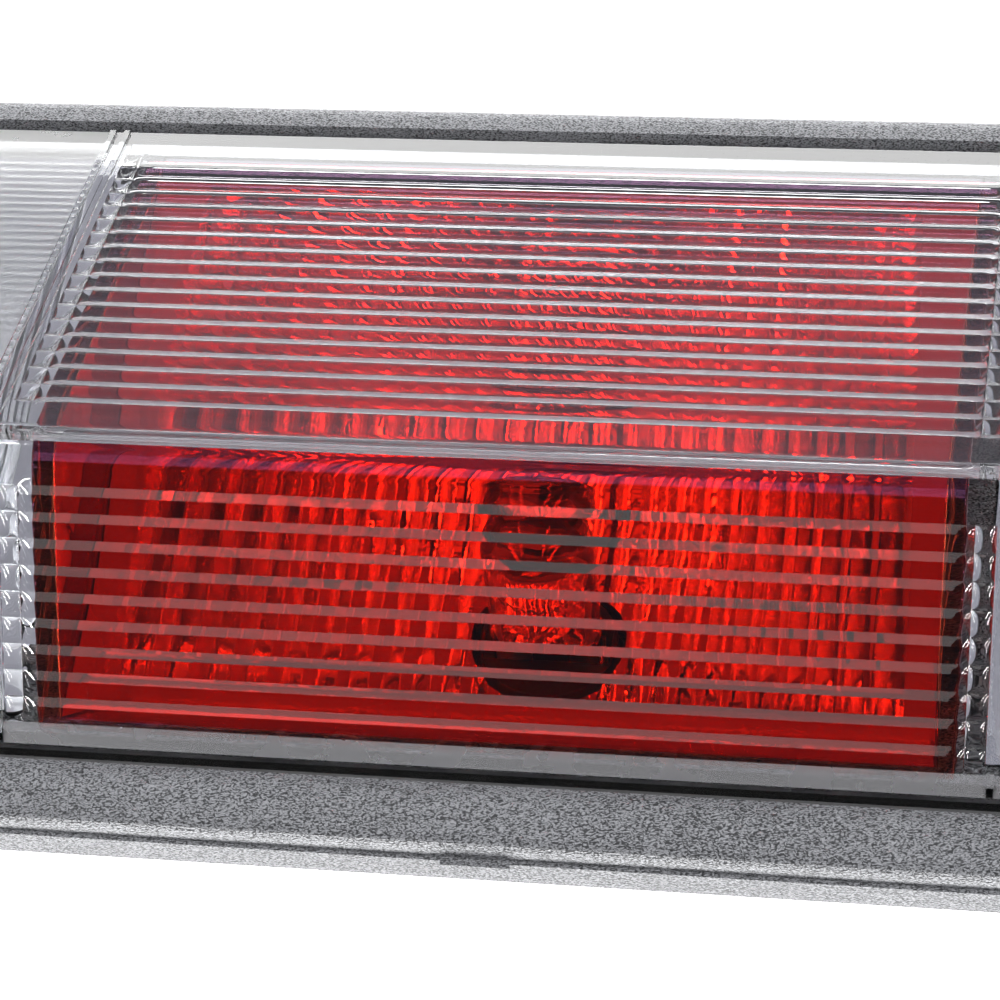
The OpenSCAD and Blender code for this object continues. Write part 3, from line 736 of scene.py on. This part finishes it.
def buildReflector(name, node, middle, half):
    low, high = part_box(node)
    bowlUp = bowlLook["bowlUp"]
    deepest = seatOut - bowlLook["depth"] - bowlLook["behind"]
    flutes = 2 * round(half / bowlLook["flutePitch"])
    trim = stopEdge(node, low, high)

    def frontAt(x):
        wave = abs(math.sin(math.pi * (x + half) * flutes / (2 * half)))
        return min(bowlOut(x, half) + bowlLook["fluteHeight"] * wave, seatOut)

    def plateUp(out):
        return bowlUp - bowlLook["lean"] * (seatOut - out) / (seatOut - deepest)

    columns = spread(-half, half, flutes * bowlLook["fluteSteps"])
    columns = [low.x - middle] + columns + [high.x - middle]
    hole = bowlLook["holeRadius"]
    count = len(zSteps(bowlUp, hole)) + 4  # points in one column, rims included
    points, faces = [], []
    for x in columns:
        inBowl = abs(x) < half - tiny
        out = frontAt(x) if inBowl else seatOut
        up = plateUp(out)
        points.append(Vector((trim(middle + x, low.z), -seatOut, low.z)))
        points.append(Vector((trim(middle + x, -bowlUp), -seatOut, -bowlUp)))
        for z in zSteps(up, hole):
            points.append(Vector((trim(middle + x, z), -out, z)))
        points.append(Vector((trim(middle + x, bowlUp), -seatOut, bowlUp)))
        points.append(Vector((trim(middle + x, high.z), -seatOut, high.z)))
    inside = {i for i, p in enumerate(points) if math.hypot(p.x - middle, p.z) < hole}
    for c in range(len(columns) - 1):
        for r in range(count - 1):
            a = c * count + r
            corners = (a, a + count, a + count + 1, a + 1)
            if not all(i in inside for i in corners):
                faces.append(corners)
    for i in {i for f in faces for i in f} & inside:
        # the hole's edge is drawn out to a true circle
        p = points[i]
        radius = math.hypot(p.x - middle, p.z)
        x = (p.x - middle) * hole / radius
        points[i] = Vector((middle + x, -frontAt(x), p.z * hole / radius))
    used = sorted({i for f in faces for i in f})
    renumber = {old: new for new, old in enumerate(used)}
    points = [points[i] for i in used]
    faces = [tuple(renumber[i] for i in f) for f in faces]
    piece = makePiece(name, points, faces, silver, sharpAngle=45)
    faceOutward(piece)
    shell = piece.modifiers.new("moulding", "SOLIDIFY")
    shell.thickness = bowlLook["shell"]
    shell.offset = -1
    applyModifiers(piece)
    smoothShade(piece, 45)
    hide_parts(node)


def stopEdge(node, low, high):
    # The rim's edge beside the stop section follows its flare
    base = lens["redWidth"] / 2 - lens["redSide"]
    cargoBase = lens["redWidth"] / 2 + bowlLook["cargoInset"]
    reach = bowlLook["trimReach"]

    def trim(x, up):
        if node == "stop_reflector" and abs(x) > base - reach:
            return math.copysign(stopHalfWidth(base, up) - bowlLook["trimGap"], x)
        if node.endswith("left") and abs(x - high.x) < reach:
            return -stopHalfWidth(cargoBase, up)
        if node.endswith("right") and abs(x - low.x) < reach:
            return stopHalfWidth(cargoBase, up)
        return x
    return trim


def faceOutward(piece):
    # The silvered side looks to -Y
    work = bmesh.new()
    work.from_mesh(piece.data)
    lean = sum(f.normal.y * f.calc_area() for f in work.faces)
    if lean > 0:
        bmesh.ops.reverse_faces(work, faces=work.faces)
    work.to_mesh(piece.data)
    work.free()


print("reflectors")
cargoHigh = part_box("cargo_reflector_right")[1]
socketLow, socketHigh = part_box("cargo_socket_right")
cargoX = (socketLow.x + socketHigh.x) / 2
bowlSide = bowlLook["side"] + bowlLook["wall"]
stopHalf = lens["redWidth"] / 2 - lens["redSide"] - bowlSide
cargoHalf = cargoHigh.x - cargoX - bowlSide
buildReflector("fluted_stop_reflector", "stop_reflector", 0.0, stopHalf)
buildReflector("fluted_cargo_reflector_left", "cargo_reflector_left", -cargoX, cargoHalf)
buildReflector("fluted_cargo_reflector_right", "cargo_reflector_right", cargoX, cargoHalf)


bulbLook = {
    "wall": 0.8 * mm,
    "ring": 48,
    "pinch": 7 * mm,
    "flatWide": 7.3 * mm,  # half width of the pressed base
    "flatThick": 2.2 * mm,
    "pinchSteps": 8,
    "domeSteps": 12,
    "tipRadius": 0.3 * mm,
    "coilTurns": 11,
    "coilRadius": 0.42 * mm,
    "coilSteps": 16,
    "coilSag": 0.35 * mm,
    "coilWire": 0.09 * mm,
    "supportWire": 0.3 * mm,
    "supportInset": 0.35 * mm,
    "coilBack": 0.55 * mm,  # from the wires' front ends back to the coil
}


def bulbRing(points, middle, y, halfWide, halfThick):
    # One ring of the envelope, from a flat pinch to a circle
    power = 2 + 6 * max(0.0, 1 - halfThick / halfWide)
    for i in range(bulbLook["ring"]):
        a = 2 * math.pi * i / bulbLook["ring"]
        cosine, sine = math.cos(a), math.sin(a)
        x = math.copysign(abs(cosine) ** (2 / power), cosine) * halfWide
        z = math.copysign(abs(sine) ** (2 / power), sine) * halfThick
        points.append(Vector((middle + x, y, z)))


def bulbSkin(middle, levels):
    points, faces = [], []
    ring = bulbLook["ring"]
    for y, wide, thick in levels:
        bulbRing(points, middle, y, wide, thick)
    for k in range(len(levels) - 1):
        for i in range(ring):
            j = (i + 1) % ring
            faces.append((k * ring + i, k * ring + j, (k + 1) * ring + j, (k + 1) * ring + i))
    faces.append(tuple(range(ring)))
    faces.append(tuple((len(levels) - 1) * ring + i for i in range(ring)))
    return points, faces


def buildBulb(name, glassNode, wireNode, body):
    low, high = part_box(glassNode)
    middle = (low.x + high.x) / 2
    radius = (high.x - low.x) / 2
    tip, base = low.y, high.y
    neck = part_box(wireNode)[1].y + bulbLook["wall"]
    flatWide = bulbLook["flatWide"]
    flatThick = bulbLook["flatThick"]
    leastWide, leastThick = 0.6 * mm, 0.5 * mm

    def levels(shrink):
        # (y, half width, half thickness) from the base to the tip; the inner skin starts in the pinch
        r = radius - shrink
        found = [] if shrink else [(base, flatWide, flatThick), (neck, flatWide, flatThick)]
        for i in range(3 if shrink else 1, bulbLook["pinchSteps"] + 1):
            t = i / bulbLook["pinchSteps"]
            ease = t * t * (3 - 2 * t)
            wide = max(leastWide, flatWide + (radius - flatWide) * ease - shrink)
            thick = max(leastThick, flatThick + (radius - flatThick) * ease - shrink)
            found.append((neck - bulbLook["pinch"] * t, wide, thick))
        domeStart = tip + radius
        for i in range(bulbLook["domeSteps"]):
            a = math.pi / 2 * i / bulbLook["domeSteps"]
            found.append((domeStart - r * math.sin(a), r * math.cos(a), r * math.cos(a)))
        found.append((tip + shrink, bulbLook["tipRadius"], bulbLook["tipRadius"]))
        return found

    outerPoints, outerFaces = bulbSkin(middle, levels(0.0))
    innerPoints, innerFaces = bulbSkin(middle, levels(bulbLook["wall"]))
    shift = len(outerPoints)
    faces = outerFaces + [tuple(reversed([i + shift for i in f])) for f in innerFaces]
    mesh = bpy.data.meshes.new(name)
    mesh.from_pydata([tuple(p) for p in outerPoints + innerPoints], [], faces)
    glass = bpy.data.objects.new(name, mesh)
    bpy.context.scene.collection.objects.link(glass)
    work = bmesh.new()
    work.from_mesh(mesh)
    bmesh.ops.recalc_face_normals(work, faces=work.faces)
    work.to_mesh(mesh)
    work.free()
    mesh.materials.append(envelope)
    smoothShade(glass, 40)
    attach(glass, body)
    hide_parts(glassNode)
    buildFilament(name.replace("envelope", "filament"), wireNode, middle, neck, body)


def buildFilament(name, node, middle, neck, body):
    # Two bent support wires and the coil between them, as round tubes
    low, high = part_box(node)
    coilY = low.y + bulbLook["coilBack"]
    halfSpan = (high.x - low.x) / 2 - bulbLook["supportInset"]
    # how far in from the coil's end, and how far back, each bend of a support wire is
    bends = [(0.4 * mm, high.y), (0.3 * mm, (high.y + coilY) / 2), (0.0, coilY + 0.6 * mm), (0.0, coilY)]
    paths = []
    for side in (-1, 1):
        support = [Vector((middle + side * (halfSpan - inward), y, 0)) for inward, y in bends]
        paths.append((support, bulbLook["supportWire"]))
    turns = bulbLook["coilTurns"]
    steps = turns * bulbLook["coilSteps"]
    coil = []
    for i in range(steps + 1):
        t = i / steps
        a = 2 * math.pi * turns * t
        x = middle - halfSpan + 2 * halfSpan * t
        sag = bulbLook["coilSag"] * 4 * t * (1 - t)
        y = coilY + sag + bulbLook["coilRadius"] * math.cos(a) * 0.9
        coil.append(Vector((x, y, bulbLook["coilRadius"] * math.sin(a))))
    paths.append((coil, bulbLook["coilWire"]))
    points, faces = [], []
    for path, thick in paths:
        addTube(points, faces, path, thick, 8)
    piece = makePiece(name, points, faces, tungsten, body=body, sharpAngle=60)
    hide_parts(node)


def addTube(points, faces, path, radius, sides):
    # A closed round tube along a path
    first = len(points)
    for i, p in enumerate(path):
        ahead = path[min(i + 1, len(path) - 1)] - path[max(i - 1, 0)]
        turn = ahead.to_track_quat("Z", "Y")
        for k in range(sides):
            a = 2 * math.pi * k / sides
            points.append(p + turn @ Vector((math.cos(a) * radius, math.sin(a) * radius, 0)))
    for i in range(len(path) - 1):
        for k in range(sides):
            a = first + i * sides + k
            b = first + i * sides + (k + 1) % sides
            faces.append((a, b, b + sides, a + sides))
    faces.append(tuple(first + k for k in range(sides)))
    faces.append(tuple(first + (len(path) - 1) * sides + k for k in range(sides)))


print("bulbs")
buildBulb("stop_bulb_envelope", "stop_bulb_glass", "stop_bulb_filament", "stop_socket")
for side in ("left", "right"):
    buildBulb(f"cargo_bulb_envelope_{side}", f"cargo_bulb_glass_{side}",
              f"cargo_bulb_filament_{side}", f"cargo_socket_{side}")


print("finishes")
paint("housing", grainedPlastic())
paint("lens_sealant", sealant)
paint("mounting_gasket", foam)
paint("reflector_screws", zinc)
paint("vent_caps", rubber)
lampNames = [("stop_socket", "stop_socket_seal", "stop_socket_contacts")]
for side in ("left", "right"):
    lampNames.append((f"cargo_socket_{side}", f"cargo_socket_seal_{side}", f"cargo_socket_contacts_{side}"))
for socket, seal, contacts in lampNames:
    paint(socket, socketPlastic)
    paint(seal, rubber)
    paint(contacts, brass)
    softenEdges(socket, 0.3 * mm)
softenEdges("housing", 0.35 * mm)
softenEdges("vent_caps", 0.3 * mm)
softenEdges("reflector_screws", 0.15 * mm)


studio = {
    "floorTone": rgb(0.8, 0.8, 0.8),
    "floorGlow": 0.6,
    "worldTone": rgb(0.8, 0.83, 0.88),
    "worldStrength": 0.05,
}


# Each light's azimuth and height are in degrees, seen from the lamp; distance and size are in metres
softboxes = {
    "front_softbox": {"sideways": 9, "above": 16, "width": 0.55, "height": 0.45, "glow": 1.7},
    "left_strip": {"sideways": -50, "above": 30, "width": 0.06, "height": 0.8, "glow": 40.0},
    "right_strip": {"sideways": 52, "above": 30, "width": 0.07, "height": 0.8, "glow": 40.0},
    "near_left_strip": {"sideways": -26, "above": 22, "width": 0.04, "height": 0.9, "glow": 80.0},
    "near_right_strip": {"sideways": 31, "above": 22, "width": 0.04, "height": 0.9, "glow": 80.0},
    "back_softbox": {"sideways": 172, "above": 36, "width": 1.4, "height": 0.4, "glow": 36.0},
}
softboxDistance = 1.0


floorCards = {
    "edge": -14.8 * mm,  # where the dark card in front meets the bright one below the housing
    "front": -1.2,
    "frontWide": 1.0,
    "frontGlow": rgb(0.62, 0.6, 0.7),
    "frontStrength": 0.42,
    "back": 0.22,
    "backWide": 0.4,
    "backStrength": 5.5,
    "lift": 2 * mm,
}


def floorCard(name, near, far, wide, glow, strength):
    # A card lying just above the floor that is never seen directly
    g = Graph(name)
    material = g.finish({
        "Base Color": g.blend(g.noise(0.2), rgb(0.01, 0.01, 0.01), rgb(0.015, 0.015, 0.015)),
        "Roughness": 0.9,
        "Emission Color": glow,
        "Emission Strength": strength,
    })
    level = startBounds[0].z + floorCards["lift"]
    corners = [(-wide, near, level), (wide, near, level), (wide, far, level), (-wide, far, level)]
    mesh = bpy.data.meshes.new(name)
    mesh.from_pydata(corners, [], [(0, 1, 2, 3)])
    card = bpy.data.objects.new(name, mesh)
    bpy.context.scene.collection.objects.link(card)
    mesh.materials.append(material)
    card.visible_camera = False
    card.visible_shadow = False
    return card


def buildCards():
    # Dark in front, so the lens isn't milky with reflections; bright below, for its silvery rib lines
    dark = floorCard("dark_card", floorCards["edge"], floorCards["front"], floorCards["frontWide"],
                     floorCards["frontGlow"], floorCards["frontStrength"])
    dark.visible_diffuse = False
    floorCard("under_card", floorCards["back"], floorCards["edge"], floorCards["backWide"],
              rgb(1, 1, 1), floorCards["backStrength"])


def buildFloor():
    g = Graph("pale_floor")
    cloud = g.noise(0.6, detail=2.0)
    material = g.finish({
        "Base Color": g.blend(cloud, studio["floorTone"], rgb(0.87, 0.87, 0.87)),
        "Roughness": 0.7,
        "Emission Color": rgb(1, 1, 1),
        "Emission Strength": studio["floorGlow"],
    })
    level = startBounds[0].z
    mesh = bpy.data.meshes.new("floor")
    work = bmesh.new()
    bmesh.ops.create_circle(work, cap_ends=True, segments=96, radius=4.0)
    work.to_mesh(mesh)
    work.free()
    floor = bpy.data.objects.new("floor", mesh)
    bpy.context.scene.collection.objects.link(floor)
    floor.location.z = level
    mesh.materials.append(material)


def softbox(name, sideways, above, width, height, glow):
    # A rectangular light that faces the lamp; glow is how bright its face looks
    light = bpy.data.lights.new(name, "AREA")
    light.shape = "RECTANGLE"
    light.size = width
    light.size_y = height
    light.energy = glow * math.pi * width * height
    light.color = (1.0, 1.0, 1.0)
    lamp = bpy.data.objects.new(name, light)
    bpy.context.scene.collection.objects.link(lamp)
    turn, lift = math.radians(sideways), math.radians(above)
    place = Vector((math.sin(turn) * math.cos(lift), -math.cos(turn) * math.cos(lift), math.sin(lift)))
    lamp.location = place * softboxDistance
    lamp.rotation_mode = "QUATERNION"
    lamp.rotation_quaternion = (-place).to_track_quat("-Z", "Y")
    lamp.visible_camera = False
    return lamp


def buildWorld():
    world = bpy.data.worlds.new("studio")
    world.use_nodes = True
    bpy.context.scene.world = world
    background = world.node_tree.nodes["Background"]
    background.inputs["Color"].default_value = studio["worldTone"]
    background.inputs["Strength"].default_value = studio["worldStrength"]


cameraLook = {
    "target": Vector((0.5, -20.0, 18.2)) * mm,
    "distance": 0.3225,
    "sideways": -10.17,
    "above": 34.55,
    "roll": -171.76,
    "lens": 97.5,
}


def buildCamera():
    side = math.radians(cameraLook["sideways"])
    above = math.radians(cameraLook["above"])
    back = Vector((math.sin(side) * math.cos(above), -math.cos(side) * math.cos(above), math.sin(above)))
    data = bpy.data.cameras.new("camera")
    data.lens = cameraLook["lens"]
    data.sensor_width = 36
    data.clip_start = 0.01
    data.clip_end = 50
    camera = bpy.data.objects.new("camera", data)
    bpy.context.scene.collection.objects.link(camera)
    camera.location = cameraLook["target"] + back * cameraLook["distance"]
    camera.rotation_mode = "QUATERNION"
    upright = (-back).to_track_quat("-Z", "Y").to_matrix()
    roll = Matrix.Rotation(math.radians(cameraLook["roll"]), 3, "Z")
    camera.rotation_quaternion = (upright @ roll).to_quaternion()
    bpy.context.scene.camera = camera


print("studio")
buildFloor()
buildCards()
buildWorld()
for name, values in softboxes.items():
    softbox(name, **values)
buildCamera()

scene = bpy.context.scene
scene.view_settings.view_transform = "Standard"
scene.cycles.max_bounces = 20
scene.cycles.transmission_bounces = 16
scene.cycles.glossy_bounces = 10
scene.cycles.diffuse_bounces = 4
scene.cycles.use_denoising = True
